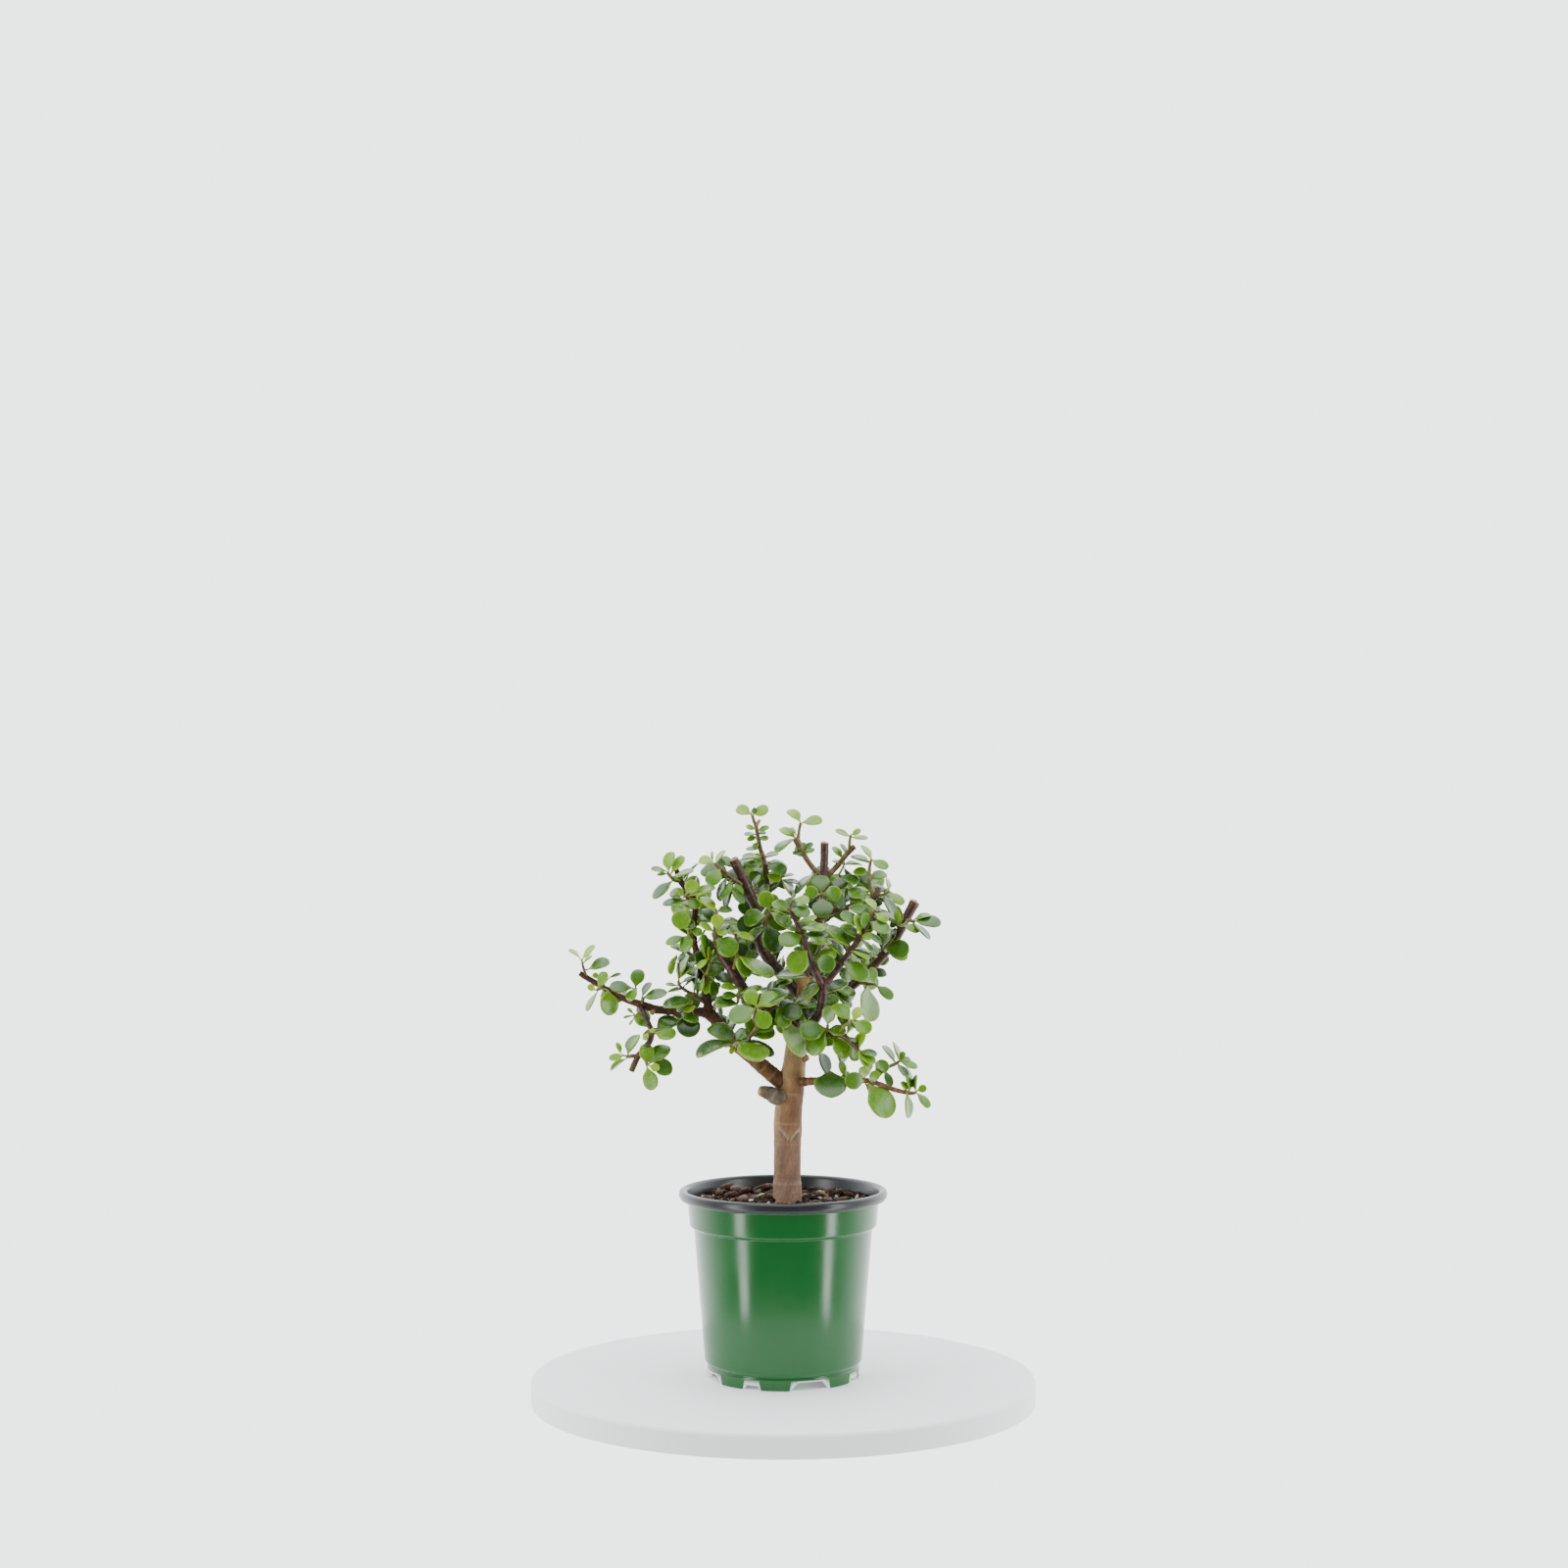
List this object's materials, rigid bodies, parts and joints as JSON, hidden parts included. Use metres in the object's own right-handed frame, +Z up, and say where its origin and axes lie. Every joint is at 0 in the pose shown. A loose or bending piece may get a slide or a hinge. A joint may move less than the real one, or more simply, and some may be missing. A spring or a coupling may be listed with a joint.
{
  "type": "potted jade plant",
  "caption": "Small-leaved jade pruned as a little tree, standing in a round tapered nursery pot of potting mix.",
  "frame": {"origin": "below the middle of the whole plant's box, on the surface the pot stands on; the pot's axis is 15.4 mm to the right and 7.7 mm forward of it", "axes": "+Z up, parallel to the pot's axis, -Y towards the front, +X to the right seen from the front"},
  "size_m": [0.1908, 0.123, 0.2949],
  "materials": {
    "pot_plastic": "glossy green outside, black rim and inside",
    "potting_mix": "matte crumbled bark and grit",
    "bark": "matte smooth tan bark",
    "dark_bark": "satin dark maroon bark",
    "leaf": "glossy fleshy leaf"
  },
  "bodies": {
    "root": {"branch_front": "dark_bark", "branch_front_low": "leaf", "branch_left": "bark", "branch_left_down": "leaf", "branch_left_mid": "dark_bark", "branch_left_up": "bark", "branch_low_right": "bark", "branch_right": "dark_bark", "branch_topleft": "dark_bark", "branch_upper_right": "leaf", "leader": "dark_bark", "pot": "pot_plastic", "shoot_arm_left": "leaf", "shoot_arm_right": "leaf", "shoot_back_1": "leaf", "shoot_back_10": "leaf", "shoot_back_11": "leaf", "shoot_back_12": "leaf", "shoot_back_13": "leaf", "shoot_back_14": "leaf", "shoot_back_2": "leaf", "shoot_back_3": "leaf", "shoot_back_4": "leaf", "shoot_back_5": "leaf", "shoot_back_6": "leaf", "shoot_back_7": "leaf", "shoot_back_8": "leaf", "shoot_back_9": "leaf", "shoot_c2": "leaf", "shoot_c3": "leaf", "shoot_c4": "leaf", "shoot_c5": "leaf", "shoot_c6": "leaf", "shoot_center": "leaf", "shoot_front_a": "leaf", "shoot_front_b": "leaf", "shoot_left_a": "leaf", "shoot_left_b": "leaf", "shoot_left_c": "leaf", "shoot_left_spur": "leaf", "shoot_left_tip": "leaf", "shoot_lm_spur": "leaf", "shoot_lm_top": "leaf", "shoot_lm_twig": "leaf", "shoot_low_left": "leaf", "shoot_lu_high": "leaf", "shoot_lu_low": "leaf", "shoot_lu_mid": "leaf", "shoot_lu_top": "leaf", "shoot_lu_twig": "leaf", "shoot_right_end": "leaf", "shoot_right_inner": "leaf", "shoot_right_mid": "leaf", "shoot_right_twig": "leaf", "shoot_tl_side": "leaf", "shoot_top": "leaf", "soil": "potting_mix", "trunk": "bark"}
  },
  "joints": []
}
